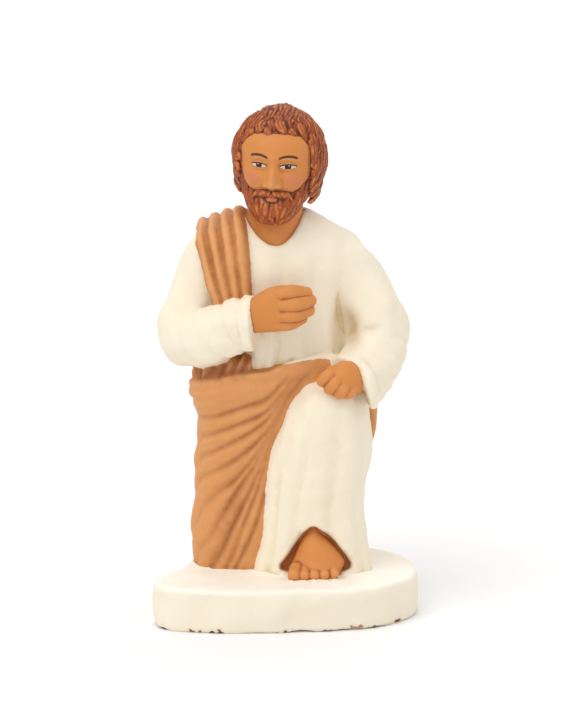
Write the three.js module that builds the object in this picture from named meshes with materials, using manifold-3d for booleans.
// A kneeling santon: a small nativity figure of painted clay, pressed in one piece with its base.
// Millimetres, +Z up. The man faces -Y, and the origin is the middle of the base's underside.
import * as THREE from 'three';
import { mergeVertices } from 'three/addons/utils/BufferGeometryUtils.js';
import Module from 'manifold-3d';

const wasm = await Module();
wasm.setup();

// Driving sizes
const FIGURE_HEIGHT = 52.2; // from the top of the base to the crown of the hair
const BASE_WIDTH = 29.4;
const BASE_DEPTH = 24.4;
const BASE_HEIGHT = 4.8;
const BASE_EDGE_ROUND = 0.7; // soft upper edge of the base
const BASE_EDGE_WORN = 0.25; // worn lower edge of the base
const ROOT_DEPTH = 0.8; // how far the figure runs down into the base

// The figure's own shapes are written in hundredths of its height, from the middle of the base's top.
const HUNDREDTH = FIGURE_HEIGHT / 100;
const ROOT = -ROOT_DEPTH / HUNDREDTH;
const TURN = 2 * Math.PI;

const CLAY = { color: 0xe6c9a0, roughness: 0.75, metalness: 0 };

// Catmull-Rom blend through rows of numbers that stand at the stations 0, 1, 2 and so on.
function rowAt(rows, station) {
  const last = rows.length - 1;
  const i = Math.min(Math.max(Math.floor(station), 0), last - 1);
  const t = station - i;
  const before = rows[Math.max(i - 1, 0)];
  const after = rows[Math.min(i + 2, last)];
  return rows[i].map((from, k) => {
    const to = rows[i + 1][k];
    const slope = to - before[k];
    const bend = 2 * before[k] - 5 * from + 4 * to - after[k];
    const twist = -before[k] + 3 * from - 3 * to + after[k];
    return 0.5 * (2 * from + t * (slope + t * (bend + t * twist)));
  });
}

// Smooth step from 0 at low to 1 at high, also where low is the larger of the two.
function rise(low, high, x) {
  const t = THREE.MathUtils.clamp((x - low) / (high - low), 0, 1);
  return t * t * (3 - 2 * t);
}

// A round bump of height 1 at (x0, z0) that fades over the half-widths wide and tall.
const bump = (x, z, x0, z0, wide, tall) => Math.exp(-(((x - x0) / wide) ** 2) - ((z - z0) / tall) ** 2);

// A closed skin of rings. point(turn, station) gives a Vector3, with turn from 0 to 1 once round.
// relief(p, n, turn, station) gives how far the surface stands out along its normal n.
function skin({ columns, stations, point, relief }) {
  const corners = [];
  for (const station of stations) {
    for (let i = 0; i < columns; i += 1) corners.push(point(i / columns, station));
  }
  const ringCentre = (row) => {
    const ring = corners.slice(row * columns, (row + 1) * columns);
    return ring.reduce((sum, p) => sum.add(p), new THREE.Vector3()).divideScalar(columns);
  };
  const first = corners.push(ringCentre(0)) - 1;
  const end = corners.push(ringCentre(stations.length - 1)) - 1;
  const faces = [];
  for (let i = 0; i < columns; i += 1) {
    const next = (i + 1) % columns;
    faces.push(first, next, i);
    for (let row = 0; row < stations.length - 1; row += 1) {
      const low = row * columns;
      const high = low + columns;
      faces.push(low + i, low + next, high + next, low + i, high + next, high + i);
    }
    const top = (stations.length - 1) * columns;
    faces.push(top + i, top + next, end);
  }
  const form = new THREE.BufferGeometry().setFromPoints(corners);
  form.setIndex(faces);
  if (relief) raise(form, columns, stations, relief);
  return form;
}

// Moves each ring corner of a skin along its normal by its relief.
function raise(form, columns, stations, relief) {
  form.computeVertexNormals();
  const { position, normal } = form.attributes;
  const p = new THREE.Vector3();
  const n = new THREE.Vector3();
  for (let i = 0; i < columns * stations.length; i += 1) {
    p.fromBufferAttribute(position, i);
    n.fromBufferAttribute(normal, i);
    const station = stations[Math.floor(i / columns)];
    p.addScaledVector(n, relief(p.clone(), n, (i % columns) / columns, station));
    position.setXYZ(i, p.x, p.y, p.z);
  }
  form.deleteAttribute('normal');
}

// Even stations from 0 to last, with a number of steps between.
const evenly = (last, steps) => Array.from({ length: steps + 1 }, (_, i) => (last * i) / steps);

// A form built of level slices [height, left, right, front, middle, back], from bottom to top.
// The slice is widest at y = middle. square is 2 for an ellipse and more for a boxier slice.
// crowd gathers the corners towards the front, or towards the back where it is below 0.
function stack({ slices, columns, steps, square = 2, crowd = 0.3, relief }) {
  const power = 2 / square;
  const bulge = (x) => Math.sign(x) * Math.abs(x) ** power;
  return skin({
    columns,
    stations: evenly(slices.length - 1, steps),
    relief,
    point(turn, station) {
      const [z, left, right, front, middle, back] = rowAt(slices, station);
      const angle = TURN * turn + crowd * Math.sin(TURN * turn);
      const across = -bulge(Math.sin(angle));
      const along = bulge(Math.cos(angle));
      const x = (left + right) / 2 + (across * (right - left)) / 2;
      const y = middle + along * (along > 0 ? back - middle : middle - front);
      return new THREE.Vector3(x, y, z);
    },
  });
}

// Cross-sections give [across, outward] for each turn, between -1 and 1.
const roundSection = (turn) => [Math.sin(TURN * turn), Math.cos(TURN * turn)];

// A round one with its corners gathered on the outer side.
const foldSection = (turn) => roundSection(turn - 0.08 * Math.sin(TURN * turn));

// A limb along a path of keys [x, y, z, half-width, half-thickness, facing x, facing y, facing z].
// facing is the way its thickness points. Each end is a dome of so many rounds of corners, as high
// as its share in domes of the limb's smaller half-size there.
function limb({ keys, columns, steps, domes = [1, 1], rounds = 2, section = roundSection, relief }) {
  const last = keys.length - 1;
  const body = evenly(last, steps);
  const rings = [];
  for (let i = rounds; i > 0; i -= 1) rings.push({ station: 0, tip: i / rounds, side: -1 });
  for (const station of body) rings.push({ station, tip: 0, side: 0 });
  for (let i = 1; i <= rounds; i += 1) rings.push({ station: last, tip: i / rounds, side: 1 });
  const nearlyClosed = 0.96;
  return skin({
    columns,
    stations: rings,
    relief: relief && ((p, n, turn, ring) => relief(p, n, turn, ring.station)),
    point(turn, ring) {
      const [x, y, z, wide, thick, ...towards] = rowAt(keys, ring.station);
      const step = 0.02;
      const a = rowAt(keys, Math.max(ring.station - step, 0));
      const b = rowAt(keys, Math.min(ring.station + step, last));
      const tangent = new THREE.Vector3(b[0] - a[0], b[1] - a[1], b[2] - a[2]).normalize();
      const across = new THREE.Vector3().crossVectors(tangent, new THREE.Vector3(...towards)).normalize();
      const outward = new THREE.Vector3().crossVectors(across, tangent);
      const swing = (ring.tip * nearlyClosed * Math.PI) / 2;
      const dome = domes[ring.side > 0 ? 1 : 0] * Math.min(wide, thick);
      const [aside, out] = section(turn);
      return new THREE.Vector3(x, y, z)
        .addScaledVector(across, wide * Math.cos(swing) * aside)
        .addScaledVector(outward, thick * Math.cos(swing) * out)
        .addScaledVector(tangent, ring.side * dome * Math.sin(swing));
    },
  });
}

// A merged, closed geometry as a solid, and the other way round.
function solid(form) {
  const merged = mergeVertices(form, 1e-4);
  const made = new wasm.Manifold(
    new wasm.Mesh({
      numProp: 3,
      vertProperties: merged.attributes.position.array,
      triVerts: new Uint32Array(merged.index.array),
    }),
  );
  if (made.volume() > 0) return made;
  merged.index.array.reverse();
  return solid(merged);
}

function geometryOf(made) {
  const mesh = made.getMesh();
  const form = new THREE.BufferGeometry();
  form.setAttribute('position', new THREE.BufferAttribute(mesh.vertProperties, 3));
  form.setIndex(new THREE.BufferAttribute(mesh.triVerts, 1));
  return form;
}

const joined = (forms) => forms.map(solid).reduce((all, next) => all.add(next));

// Cloak

const KNEELING_LEG = {
  slices: [
    [ROOT, -19.6, 4, -4.2, 3, 12],
    [2, -20.0, 4, -4.6, 3, 12.5],
    [7, -20.6, 5, -4.8, 3, 13],
    [14, -19.8, 6, -4.6, 3, 13],
    [22, -19.7, 7, -4.8, 3, 13.5],
    [29, -19.2, 9, -5.6, 3, 13.5],
    [34, -19.3, 12, -6.6, 3, 13.5],
    [39, -20.0, 14, -7.4, 3, 13.8],
    [43, -19.8, 14.6, -7.4, 3, 13.6],
    [46, -18.6, 14, -7.0, 3.5, 12.8],
    [47.4, -12, 9, -4, 4, 8],
  ],
  square: 2.5,
};

// The slice of a stack at a height.
function sliceAt(slices, z) {
  const HALVINGS = 20;
  let low = 0;
  let high = slices.length - 1;
  for (let i = 0; i < HALVINGS; i += 1) {
    const middle = (low + high) / 2;
    if (rowAt(slices, middle)[0] < z) low = middle;
    else high = middle;
  }
  return rowAt(slices, low);
}

// The angle from a stack's front, round towards +X, at which (x, z) lies on its surface.
// An x past the outline goes on round the side.
function angleAt({ slices, square }, x, z) {
  const SIDE_RADIUS = 9;
  const [, left, right] = sliceAt(slices, z);
  const half = (right - left) / 2;
  const away = x - (left + right) / 2;
  const past = Math.max(Math.abs(away) - half, 0);
  const share = Math.min(Math.abs(away) / half, 1);
  return Math.sign(away) * (Math.asin(share ** (square / 2)) + past / SIDE_RADIUS);
}

// The place on a stack's surface at an angle from its front, and the way it faces.
function onBody({ slices, square }, angle, z) {
  const [, left, right, front, middle, back] = sliceAt(slices, z);
  const bulge = (x) => Math.sign(x) * Math.abs(x) ** (2 / square);
  const out = Math.cos(angle);
  const depth = bulge(out) * (out > 0 ? middle - front : back - middle);
  const across = (bulge(Math.sin(angle)) * (right - left)) / 2;
  const place = [(left + right) / 2 + across, middle - depth, z];
  return { place, facing: [Math.sin(angle), -out, 0] };
}

// A fold of cloth is a long ridge that lies on a body, along a smooth line through points [x, z].
// start and end are the shares of its full size at its two ends.
function fold(body, points, { wide, proud, start = 1, end = 1, steps = 4 }) {
  const SUNK = 0.3;
  const last = points.length - 1;
  const marks = points.map(([x, z]) => [angleAt(body, x, z), z]);
  const keys = evenly(last, steps).map((station) => {
    const [angle, z] = rowAt(marks, station);
    const share = station / last;
    const size = THREE.MathUtils.lerp(start, 1, rise(0, 0.3, share)) * THREE.MathUtils.lerp(1, end, share);
    const { place, facing } = onBody(body, angle, z);
    const sunk = place.map((value, k) => value - SUNK * proud * size * facing[k]);
    return [...sunk, wide * size, proud * size, ...facing];
  });
  return limb({ keys, columns: 5, steps, domes: [1.2, 1.2], rounds: 1, section: foldSection });
}

// Folds that run up and down a stack are grooves along every third line of its corners.
const GROOVE_CORNERS = 3;
function upright(grooves, depth) {
  return (p, n, turn) => -depth * Math.abs(Math.cos(grooves * Math.PI * turn)) ** 3;
}

// Folds that fan out from the raised knee, from nearly level at the hip to nearly upright at the hem.
function fanFolds() {
  const FOLDS = 8;
  const guides = [
    [-27, 33.0, -19.0, 35.0, -12.0, 36.0, -4.7, 38.2, 1.6, 41.2],
    [-26, 24.0, -18.6, 27.0, -12.6, 28.8, -7.7, 31.2, -1.4, 38.0],
    [-22, 9.0, -17.4, 13.6, -11.2, 19.4, -6.6, 26.6, -2.2, 34.0],
    [-10.6, ROOT, -9.2, 4.0, -7.2, 9.0, -5.2, 15.6, -3.4, 24.0],
  ];
  return evenly(guides.length - 1, FOLDS - 1).map((station) => {
    const row = rowAt(guides, station);
    const points = [0, 2, 4, 6, 8].map((k) => [row[k], row[k + 1]]);
    return fold(KNEELING_LEG, points, { wide: 2.3, proud: 1.4, start: 0.5, end: 0.5, steps: 6 });
  });
}

// Above the rolled edge the loose end of the cloak hangs in small gathers under the forearm.
function gathers() {
  const GATHERS = 4;
  return evenly(1, GATHERS - 1).map((share) => {
    const x = THREE.MathUtils.lerp(-18.4, -8.2, share);
    const points = [[x, 41], [x + 0.4, 44], [x + 0.2, 47]];
    return fold(KNEELING_LEG, points, { wide: 1.4, proud: 0.8, steps: 2 });
  });
}

// The cloak over the kneeling leg and the hips, up to its rolled edge at the waist.
function kneelingLeg() {
  const leg = stack({ ...KNEELING_LEG, columns: 18, steps: 8, crowd: 0.4 });
  const edge = [[-27, 38], [-19.4, 38.9], [-12.4, 39.2], [-6.6, 40.8], [0.4, 43.4], [7, 45.2], [11, 45]];
  const roll = fold(KNEELING_LEG, edge, { wide: 2.4, proud: 1.6, start: 0.6, steps: 7 });
  return joined([leg, roll, ...gathers(), ...fanFolds()]);
}

// The cloak behind: round the buttocks and over the folded lower leg, down to the base.
function cloakBehind() {
  const GROOVES = 9;
  const GROOVE_DEPTH = 1.2;
  return stack({
    slices: [
      [ROOT, -18.6, 12.6, -1, 8, 18.9],
      [3, -18.8, 13, -1, 8, 19.2],
      [8, -18.4, 13.6, -1, 8, 18.6],
      [14, -18, 14.6, -1, 7, 16.6],
      [22, -18.2, 17.0, -1, 6, 15.2],
      [28, -18.6, 20.0, -1, 5, 14.8],
      [34, -18.8, 20.3, -1, 5, 14.8],
      [40, -18.4, 18.2, -1, 5, 14.4],
      [45, -16.4, 16.6, -1, 5, 13.2],
      [47.5, -10, 10, 1, 5, 9],
    ],
    columns: GROOVES * GROOVE_CORNERS,
    steps: 8,
    square: 2.4,
    crowd: -0.35,
    relief: upright(GROOVES, GROOVE_DEPTH),
  });
}

// The strip's section: a flat inner side, and an outer side in pleats with a groove between each two.
const PLEATS = 4;
const PLEAT_CORNERS = 3;
const STRIP_OUTER = PLEATS * PLEAT_CORNERS;
const STRIP_COLUMNS = STRIP_OUTER + 4;

function pleatedSection(turn) {
  const GROOVE = 0.55;
  const INNER = -1.2;
  const corner = turn * STRIP_COLUMNS;
  if (corner > STRIP_OUTER) {
    return [1 - (2 * (corner - STRIP_OUTER)) / (STRIP_COLUMNS - STRIP_OUTER), INNER];
  }
  const aside = (2 * corner) / STRIP_OUTER - 1;
  const crest = 1 - Math.abs(Math.cos((corner / PLEAT_CORNERS) * Math.PI)) ** 3;
  return [aside, 1 - 0.6 * aside ** 4 - GROOVE * (1 - crest)];
}

// The cloak's folded length over the shoulder: from the forearm up, over, and down across the back.
function cloakStrip() {
  return limb({
    keys: [
      [-9.4, -5.8, 50.0, 5.2, 1.8, 0, -1, 0],
      [-10.6, -6.5, 57.5, 4.4, 1.9, 0, -1, 0],
      [-12.2, -6.2, 64.5, 5.4, 2.0, -0.1, -1, 0.2],
      [-13.9, -3.4, 72.0, 6.0, 2.1, -0.2, -0.8, 0.6],
      [-14.2, 2.0, 74.8, 6.0, 2.0, -0.35, 0, 1],
      [-13.2, 8.0, 73.2, 6.4, 2.0, -0.1, 0.6, 0.8],
      [-11.0, 12.2, 66.5, 7.2, 2.0, 0, 1, 0.2],
      [-6.5, 12.9, 57.5, 8.4, 2.0, 0, 1, 0],
      [0.0, 12.8, 49.0, 9.6, 2.0, 0, 1, 0],
      [7.0, 12.2, 41.0, 10, 2.0, 0, 1, 0],
    ],
    columns: STRIP_COLUMNS,
    steps: 11,
    domes: [0.3, 0.3],
    rounds: 1,
    section: pleatedSection,
  });
}

// Robe

// Chest, belly and shoulders, with the scoop of the neckline cut out.
function torso() {
  const GROOVES = 8;
  const GROOVE_DEPTH = 0.6;
  const body = stack({
    slices: [
      [34, -15, 14, -5.2, 4, 12.6],
      [42, -16, 14.5, -6.6, 4, 12.6],
      [50, -15, 13, -6.8, 4, 11.8],
      [58, -15.5, 12.6, -6.8, 4, 12.2],
      [66, -17, 14.4, -6.2, 4, 12.2],
      [70.5, -17.2, 13.6, -4.8, 4, 11.6],
      [73.6, -15.4, 10.6, -3.0, 4, 10.2],
      [76, -11.5, 7.0, -1.4, 4, 8.8],
      [77.4, -6.5, 3.6, 0.5, 4, 7.2],
    ],
    columns: GROOVES * GROOVE_CORNERS,
    steps: 8,
    square: 2.3,
    crowd: 0.4,
    relief: upright(GROOVES, GROOVE_DEPTH),
  });
  const scoop = stack({
    slices: [
      [70.9, -3.4, -1.4, -6, -4, -2],
      [71.6, -5.4, 0.8, -8, -4, 0],
      [73.4, -7.6, 3.2, -9, -4, 2],
      [76, -8.6, 4.2, -10, -4, 2],
      [80, -8.8, 4.4, -10, -4, 2],
    ],
    columns: 18,
    steps: 5,
  });
  return solid(body).subtract(solid(scoop));
}

// The robe over the raised left knee and shin, open at the hem for the foot.
function kneePanel() {
  const GROOVES = 7;
  const GROOVE_DEPTH = 0.7;
  const panel = stack({
    slices: [
      [ROOT, -6.6, 18.6, -9.8, -4.4, 6],
      [2, -6.2, 18.3, -10.2, -4.4, 6],
      [8, -5.2, 17.4, -10.3, -4.4, 6],
      [14, -4.6, 16.5, -10.6, -4.4, 6],
      [20, -3.9, 17.2, -11.3, -4.4, 6],
      [27, -2.6, 18.6, -12.4, -4.6, 6],
      [33, -0.7, 18.5, -13.2, -4.8, 6],
      [37.5, 1.2, 17.6, -13.4, -5, 5],
      [40.5, 3.4, 16.0, -12.4, -5, 3],
      [42.2, 6.4, 13.2, -9.6, -5, 0],
    ],
    columns: GROOVES * GROOVE_CORNERS,
    steps: 10,
    square: 2.15,
    crowd: 0.35,
    relief: upright(GROOVES, GROOVE_DEPTH),
  });
  // The opening is an upside-down V that goes a little way into the panel, down to the base's top.
  const opening = new THREE.Shape();
  opening.moveTo(-1.8, 0.4);
  opening.quadraticCurveTo(1.8, 4.4, 3.9, 9.2);
  opening.quadraticCurveTo(5.4, 11.4, 7.2, 10.0);
  opening.quadraticCurveTo(11.8, 7.4, 14.4, 0.4);
  opening.lineTo(14.4, ROOT - 1);
  opening.lineTo(-1.8, ROOT - 1);
  const OPENING_FRONT = -16;
  const OPENING_BACK = -7.2;
  const cut = new THREE.ExtrudeGeometry(opening, {
    depth: OPENING_BACK - OPENING_FRONT,
    bevelEnabled: false,
    curveSegments: 8,
  });
  cut.rotateX(Math.PI / 2).translate(0, OPENING_BACK, 0);
  return solid(panel).subtract(solid(positionsOnly(cut)));
}

// Joining needs positions alone, so that corners on one spot become one.
function positionsOnly(form) {
  form.deleteAttribute('normal');
  form.deleteAttribute('uv');
  return form.index ? form : mergeVertices(form, 1e-4);
}

// A sleeve is an upper and a lower limb that meet round at the elbow. Its cuff end is nearly flat.
function sleeve(upper, lower) {
  const CUFF_FOLDS = [2.2, 2.6];
  const FOLD_LENGTH = 0.14;
  const FOLD_DEPTH = 0.4;
  const pinch = (at, station) => Math.exp(-(((station - at) / FOLD_LENGTH) ** 2));
  return joined([
    limb({ keys: upper, columns: 12, steps: 5, domes: [0.8, 0.9] }),
    limb({
      keys: lower,
      columns: 12,
      steps: 9,
      domes: [0.9, 0.06],
      relief(p, n, turn, station) {
        return -FOLD_DEPTH * CUFF_FOLDS.reduce((sum, at) => sum + pinch(at, station), 0);
      },
    }),
  ]);
}

// The right sleeve comes down to the elbow and forward across the belly.
function rightSleeve() {
  return sleeve(
    [
      [-11.5, 4.0, 70.5, 5.0, 5.6, 0, -1, 0],
      [-15.8, 4.0, 66.2, 6.2, 6.4, 0, -1, 0],
      [-18.6, 3.6, 58.6, 6.4, 6.5, 0, -1, 0],
      [-20.8, 2.2, 52.2, 6.8, 6.6, 0, -1, 0],
    ],
    [
      [-21.2, 1.2, 50.8, 7.1, 6.5, -0.6, -1, 0],
      [-16.9, -4.4, 50.6, 6.6, 5.4, -0.6, -1, 0],
      [-12.0, -7.8, 52.8, 6.0, 4.6, -0.4, -1, 0],
      [-7.9, -9.4, 54.6, 6.0, 4.2, -0.3, -1, 0],
    ],
  );
}

// The left sleeve hangs out to the elbow and comes forward to a wide cuff over the knee.
function leftSleeve() {
  return sleeve(
    [
      [8.8, 4.0, 70.6, 4.4, 5.2, 0, -1, 0],
      [12.0, 4.0, 66.4, 5.9, 6.2, 0, -1, 0],
      [16.2, 3.6, 59.0, 6.7, 6.8, 0, -1, 0],
      [19.2, 2.0, 51.4, 7.0, 7.0, 0, -1, 0],
    ],
    [
      [19.4, 1.2, 50.2, 7.0, 6.8, 0.4, -1, 0.2],
      [18.5, -2.6, 46.4, 6.8, 6.2, 0.4, -1, 0.2],
      [16.7, -6.0, 43.8, 6.7, 5.4, 0.4, -1, 0.2],
      [14.7, -8.4, 42.0, 6.8, 4.6, 0.3, -1, 0.2],
    ],
  );
}

// Hands, neck and foot

// A finger, toe or thumb: a straight limb between two points.
function digit(from, to, thickRoot, thickTip, facing) {
  return limb({
    keys: [
      [...from, thickRoot, thickRoot, ...facing],
      [...to, thickTip, thickTip, ...facing],
    ],
    columns: 6,
    steps: 1,
    domes: [0.8, 0.8],
    rounds: 1,
  });
}

function rightHand() {
  const palm = limb({
    keys: [
      [-10.0, -9.2, 55.0, 3.6, 2.4, 0, -1, 0],
      [-6.0, -10.6, 56.2, 4.7, 2.6, 0, -1, 0],
      [-2.0, -11.3, 57.8, 5.1, 2.6, 0, -1, 0],
      [1.6, -11.1, 58.6, 4.5, 2.2, 0, -1, 0],
    ],
    columns: 10,
    steps: 3,
    domes: [0.5, 0.9],
  });
  const fingers = [
    digit([-0.6, -11.8, 61.2], [3.6, -10.9, 61.6], 1.75, 1.5, [0, -1, 0]),
    digit([0.4, -12.2, 59.1], [4.6, -11.0, 59.9], 1.75, 1.5, [0, -1, 0]),
    digit([0.4, -12.1, 56.9], [4.5, -11.0, 57.9], 1.7, 1.45, [0, -1, 0]),
    digit([-0.6, -11.7, 54.9], [3.0, -10.9, 56.0], 1.6, 1.35, [0, -1, 0]),
  ];
  return joined([palm, ...fingers]);
}

function leftHand() {
  const palm = limb({
    keys: [
      [17.0, -8.6, 42.6, 3.4, 2.4, 0.2, -1, 0.5],
      [14.2, -12.2, 43.6, 4.0, 2.6, 0.1, -1, 0.6],
      [11.4, -13.8, 43.6, 3.6, 2.2, 0, -1, 0.4],
    ],
    columns: 10,
    steps: 3,
    domes: [0.5, 0.9],
  });
  const fingers = [
    digit([10.2, -14.0, 45.4], [8.2, -14.0, 43.0], 1.6, 1.4, [-0.6, -1, 0]),
    digit([11.4, -14.8, 44.6], [9.9, -14.6, 41.8], 1.65, 1.45, [-0.3, -1, 0]),
    digit([13.2, -14.8, 43.8], [12.1, -14.5, 41.2], 1.65, 1.45, [0, -1, 0]),
    digit([15.2, -13.8, 43.0], [14.4, -13.4, 41.0], 1.6, 1.4, [0.2, -1, 0]),
  ];
  return joined([palm, ...fingers]);
}

function neck() {
  return limb({
    keys: [
      [-2.3, 3.4, 66, 5.6, 5.4, 0, -1, 0],
      [-2.1, 2.2, 73, 5.4, 5.4, 0, -1, 0],
      [-1.6, 1.0, 84, 5.6, 5.6, 0, -1, 0],
    ],
    columns: 10,
    steps: 2,
    rounds: 1,
  });
}

// The front half of the left foot, with five toes.
function foot() {
  const TOES = 5;
  const instep = stack({
    slices: [
      [ROOT, 0.8, 11.2, -12.6, -8, -4],
      [1.2, 0.6, 11.3, -12.9, -8, -4],
      [3.2, 1.5, 10.7, -12.3, -8, -4],
      [5.6, 2.6, 9.2, -11.2, -7.6, -4],
      [8.2, 3.8, 7.8, -9.6, -7, -4],
      [9.8, 4.8, 6.8, -8.4, -6.6, -5],
    ],
    columns: 12,
    steps: 5,
  });
  const toes = Array.from({ length: TOES }, (_, i) => {
    const x = 1.7 + (i * 8.8) / (TOES - 1);
    const reach = -14.3 + 0.14 * (i - 1) ** 2;
    const thick = i === 0 ? 1.35 : 1.18 - 0.04 * i;
    return digit([x * 0.86 + 0.9, -11, 1.5], [x, reach, 0.9], thick, thick * 0.92, [0, 0, 1]);
  });
  return joined([instep, ...toes]);
}

// The sole of the right foot shows under the cloak at the back.
function rearFoot() {
  return limb({
    keys: [
      [-9.4, 13.0, 6.4, 3.0, 2.6, 0, 1, 0.4],
      [-9.8, 17.4, 4.6, 3.0, 2.4, 0, 1, 0.6],
      [-10.0, 19.0, 1.2, 3.3, 1.8, 0, 1, 0],
    ],
    columns: 8,
    steps: 4,
  });
}

// Head

// The face is worked out from the usual thirds: hairline to brow, brow to nose, nose to chin.
const CHIN = -10.6;
const HAIRLINE = 7.2;
const BROW = HAIRLINE + (CHIN - HAIRLINE) * 0.3;
const EYES = 0.1;
const NOSE_END = CHIN + (HAIRLINE - CHIN) * 0.36;
const MOUTH = NOSE_END - 2.0;
const EYE_APART = 3.1;

function faceRelief(p, n) {
  const x = Math.abs(p.x);
  const front = rise(0.1, -0.5, n.y);
  const nose = rise(BROW, NOSE_END + 0.4, p.z) * rise(NOSE_END - 1.0, NOSE_END + 0.3, p.z);
  const height =
    -0.95 * bump(x, p.z, EYE_APART, EYES, 2.0, 1.3) +
    0.45 * bump(x, p.z, EYE_APART, EYES - 0.1, 1.1, 0.7) +
    0.45 * bump(x, p.z, EYE_APART, BROW, 2.2, 0.8) +
    0.4 * bump(x, p.z, 0, BROW - 0.2, 1.5, 1.4) +
    2.5 * nose * Math.exp(-((x / (0.8 + 0.5 * nose)) ** 2)) +
    0.7 * bump(x, p.z, 1.35, NOSE_END + 0.4, 0.6, 0.7) +
    0.35 * bump(x, p.z, 4.2, NOSE_END + 1.4, 1.9, 1.8) +
    0.7 * bump(x, p.z, 0, MOUTH + 0.45, 2.0, 0.5) +
    0.8 * bump(x, p.z, 0, MOUTH - 0.75, 1.6, 0.55);
  return height * front;
}

function face() {
  return stack({
    slices: [
      [CHIN - 0.6, -1.5, 1.5, -7.0, -5, -2],
      [CHIN + 0.2, -3.4, 3.4, -8.5, -4, 1],
      [-8.4, -5.2, 5.2, -9.0, -2.5, 3.5],
      [-6, -6.4, 6.4, -8.9, -1.5, 5.5],
      [-3.5, -7.3, 7.3, -8.9, -1, 7],
      [-1, -7.9, 7.9, -8.9, -0.5, 8],
      [1.4, -8.2, 8.2, -8.8, 0, 8.5],
      [4, -8.2, 8.2, -8.3, 0.2, 8.6],
      [6.6, -7.6, 7.6, -7.1, 0.4, 8.0],
      [8.8, -6.2, 6.2, -5.2, 0.6, 6.6],
      [10.0, -3.6, 3.6, -2.6, 0.8, 4],
    ],
    columns: 20,
    steps: 15,
    square: 2.15,
    crowd: 0.6,
    relief: faceRelief,
  });
}

// A rounded form that spreads from a pole along an axis, as hair does from the whorl.
// Its edge lies at an angle from the pole that reach gives for each turn.
function cap({ centre, radii, axis, reach, columns, steps, relief }) {
  const pole = new THREE.Vector3(...axis).normalize();
  const side = new THREE.Vector3(1, 0, 0);
  const ahead = new THREE.Vector3().crossVectors(pole, side).normalize();
  return skin({
    columns,
    stations: evenly(1, steps).slice(1),
    point(turn, share) {
      const around = TURN * turn;
      const away = THREE.MathUtils.degToRad(reach(around)) * share;
      const towards = pole.clone().multiplyScalar(Math.cos(away));
      towards.addScaledVector(ahead, -Math.sin(away) * Math.cos(around));
      towards.addScaledVector(side, Math.sin(away) * Math.sin(around));
      const [wide, deep, up, down] = radii;
      const tall = towards.z > 0 ? up : down;
      const size = Math.hypot(towards.x / wide, towards.y / deep, towards.z / tall);
      return towards.multiplyScalar((1 + relief(turn, share)) / size).add(new THREE.Vector3(...centre));
    },
  });
}

// How far the hair reaches from the whorl, in degrees, from the forehead round to the nape.
const HAIR_EDGE = [[85], [90], [123], [129], [115], [106]];

// Locks run from the whorl at the back of the crown to the hairline, in waves.
function hair() {
  const LOCKS = 12;
  const LOCK_DEPTH = 0.11;
  const WAVES = 1.1;
  const WAVE_DEPTH = 0.5;
  return cap({
    centre: [0, 1.4, 0.6],
    radii: [10.2, 10.6, 10.6, 15],
    axis: [0, 0.6, 0.8],
    reach(around) {
      const CURLS = 9;
      const fromFront = Math.min(around, TURN - around) / (TURN / 2);
      const [degrees] = rowAt(HAIR_EDGE, fromFront * (HAIR_EDGE.length - 1));
      return degrees + CURLS * Math.max(Math.sin(around), 0);
    },
    columns: GROOVE_CORNERS * LOCKS,
    steps: 6,
    relief(turn, share) {
      const wave = WAVE_DEPTH * Math.sin(WAVES * TURN * share + 2 * Math.sin(2 * TURN * turn));
      const lock = Math.abs(Math.cos(LOCKS * Math.PI * turn + wave));
      return LOCK_DEPTH * rise(0, 0.35, share) * (lock - 0.8);
    },
  });
}

function beard() {
  const LOCKS = 8;
  const LOCK_DEPTH = 0.6;
  return stack({
    slices: [
      [CHIN - 2.8, -1.8, 1.8, -7.0, -5.5, -3.5],
      [CHIN - 2.0, -3.6, 3.6, -8.8, -5, -1.5],
      [CHIN, -5.4, 5.4, -10.2, -4, 0.5],
      [-8.4, -6.5, 6.5, -10.3, -3.2, 1.5],
      [MOUTH - 0.6, -7.2, 7.2, -9.2, -2.5, 2],
      [-4, -7.9, 7.9, -7.2, -2, 2],
      [-1.6, -8.3, 8.3, -4.6, -1.6, 2],
      [0.6, -8.3, 8.3, -3, -1, 2],
    ],
    columns: 24,
    steps: 6,
    square: 2.1,
    crowd: 0.25,
    relief(p, n, turn) {
      return LOCK_DEPTH * (Math.abs(Math.cos(LOCKS * Math.PI * turn + 0.4 * Math.sin(p.z))) - 0.6);
    },
  });
}

function moustache(side) {
  return limb({
    keys: [
      [side * 0.2, -9.6, NOSE_END - 1.0, 0.6, 0.7, 0, -1, 0],
      [side * 1.8, -9.5, NOSE_END - 1.2, 0.75, 0.7, 0, -1, 0],
      [side * 3.6, -8.7, MOUTH + 0.2, 0.7, 0.7, 0, -1, 0],
      [side * 5.0, -7.8, MOUTH - 0.8, 0.5, 0.7, 0, -1, 0],
    ],
    columns: 6,
    steps: 4,
    rounds: 1,
  });
}

// The head's parts share one place and tilt on the neck.
const HEAD_AT = [-1.5, 0.6, 88.4];
const HEAD_TURN = { pitch: 4, roll: 3, yaw: -8 }; // degrees

function head() {
  const made = joined([face(), hair(), beard(), moustache(-1), moustache(1)]);
  const { pitch, roll, yaw } = HEAD_TURN;
  return made.rotate([pitch, roll, yaw]).translate(HEAD_AT);
}

// Base

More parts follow.
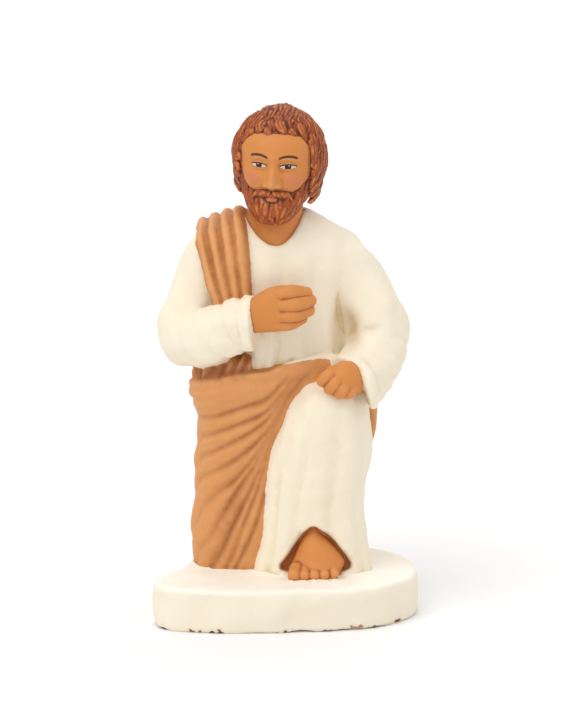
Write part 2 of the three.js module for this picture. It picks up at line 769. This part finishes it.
// An oval cut by hand: corners as shares of half the width and half the depth, joined by a smooth line.
function baseOutline(turns) {
  const corners = [
    [-0.5, -1.0], [0.1, -0.97], [0.62, -0.84], [0.95, -0.44], [1.0, 0.02], [0.88, 0.48], [0.52, 0.84],
    [-0.1, 1.0], [-0.52, 0.8], [-0.7, 0.36], [-0.8, -0.08], [-0.94, -0.36], [-1.0, -0.62], [-0.9, -0.87],
  ];
  const line = new THREE.CatmullRomCurve3(corners.map(([x, y]) => new THREE.Vector3(x, y, 0)), true);
  const points = line.getSpacedPoints(turns).slice(0, turns);
  const box = new THREE.Box3().setFromPoints(points);
  const middle = box.getCenter(new THREE.Vector3());
  const half = box.getSize(new THREE.Vector3()).multiplyScalar(0.5);
  return points.map((p) => [(p.x - middle.x) / half.x, (p.y - middle.y) / half.y]);
}

function base() {
  const SIDES = 44;
  const ROUND_STEPS = 2;
  const outline = baseOutline(SIDES);
  const rings = [
    { z: 0, inset: BASE_EDGE_WORN },
    { z: BASE_EDGE_WORN, inset: 0 },
  ];
  for (let i = 0; i <= ROUND_STEPS; i += 1) {
    const angle = ((Math.PI / 2) * i) / ROUND_STEPS;
    rings.push({
      z: BASE_HEIGHT - BASE_EDGE_ROUND * (1 - Math.sin(angle)),
      inset: BASE_EDGE_ROUND * (1 - Math.cos(angle)),
    });
  }
  return skin({
    columns: SIDES,
    stations: rings,
    point(turn, { z, inset }) {
      const [x, y] = outline[Math.round(turn * SIDES)];
      return new THREE.Vector3(x * (BASE_WIDTH / 2 - inset), y * (BASE_DEPTH / 2 - inset), z);
    },
  });
}

// The whole santon: the figure is grown from its units to millimetres and set into the base.
function santon() {
  const parts = [
    kneelingLeg(),
    solid(cloakBehind()),
    torso(),
    kneePanel(),
    solid(cloakStrip()),
    rightSleeve(),
    leftSleeve(),
    solid(neck()),
    rightHand(),
    leftHand(),
    foot(),
    solid(rearFoot()),
    head(),
  ];
  const figure = parts
    .reduce((all, next) => all.add(next))
    .scale(HUNDREDTH)
    .translate([0, 0, BASE_HEIGHT]);
  return figure.add(solid(base()));
}

const part = new THREE.Group();
const figure = new THREE.Mesh(geometryOf(santon()), new THREE.MeshStandardMaterial(CLAY));
figure.name = 'kneeling_figure';
part.add(figure);

export default part;
